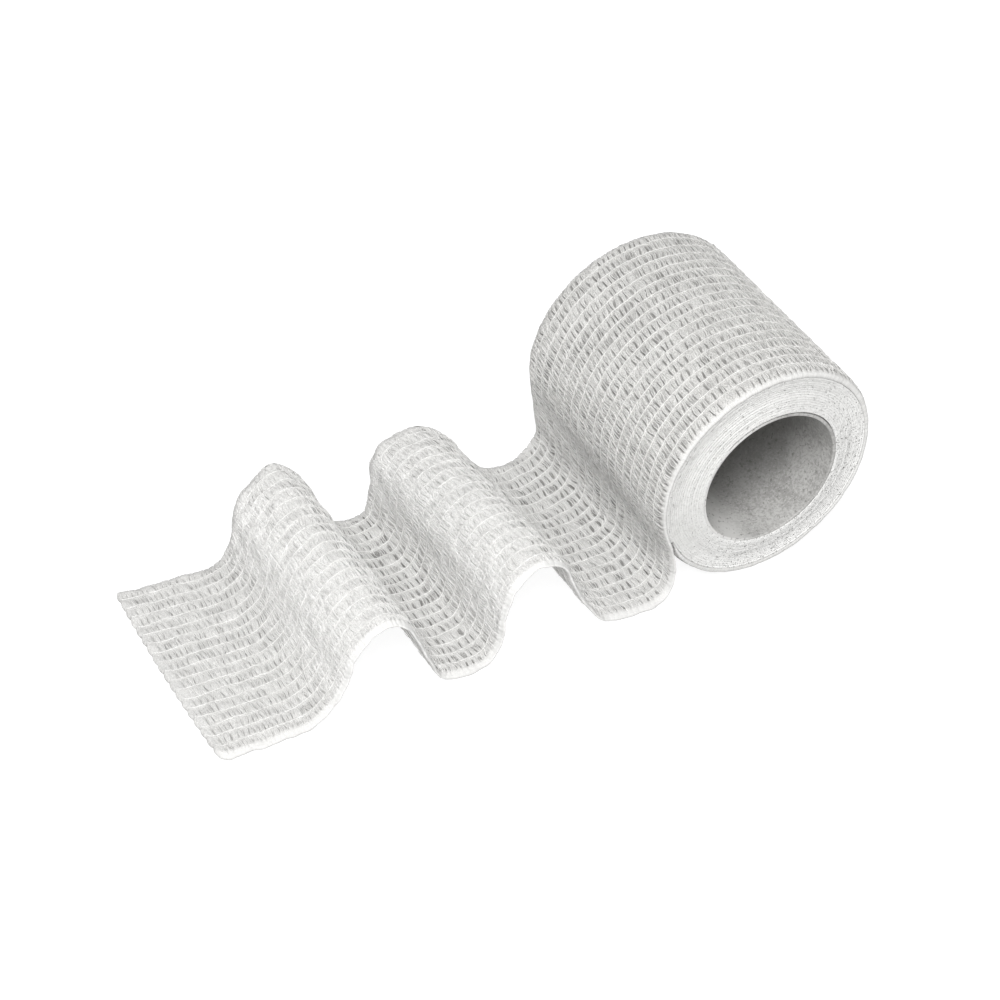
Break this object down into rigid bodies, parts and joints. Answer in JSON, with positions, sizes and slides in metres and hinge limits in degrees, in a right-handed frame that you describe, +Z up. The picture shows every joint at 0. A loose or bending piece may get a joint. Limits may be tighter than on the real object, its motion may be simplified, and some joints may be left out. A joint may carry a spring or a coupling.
{
  "type": "cohesive bandage roll",
  "caption": "Elastic cohesive gauze strip wound on a thin core tube, with its loose end laid out in standing folds on the table.",
  "frame": {"origin": "middle of the small flat spot under the wound roll, on the surface it rests on", "axes": "+X away from the loose end and along the object's length, +Y along the roll's axis away from the near end, +Z up"},
  "size_m": [0.1413, 0.0513, 0.0482],
  "materials": {
    "gauze": "off-white crinkled elastic gauze with brighter lengthwise threads",
    "core_tube": "grey mottled thin tube, satin"
  },
  "bodies": {
    "root": {"bandage": "gauze", "core": "core_tube"}
  },
  "joints": []
}
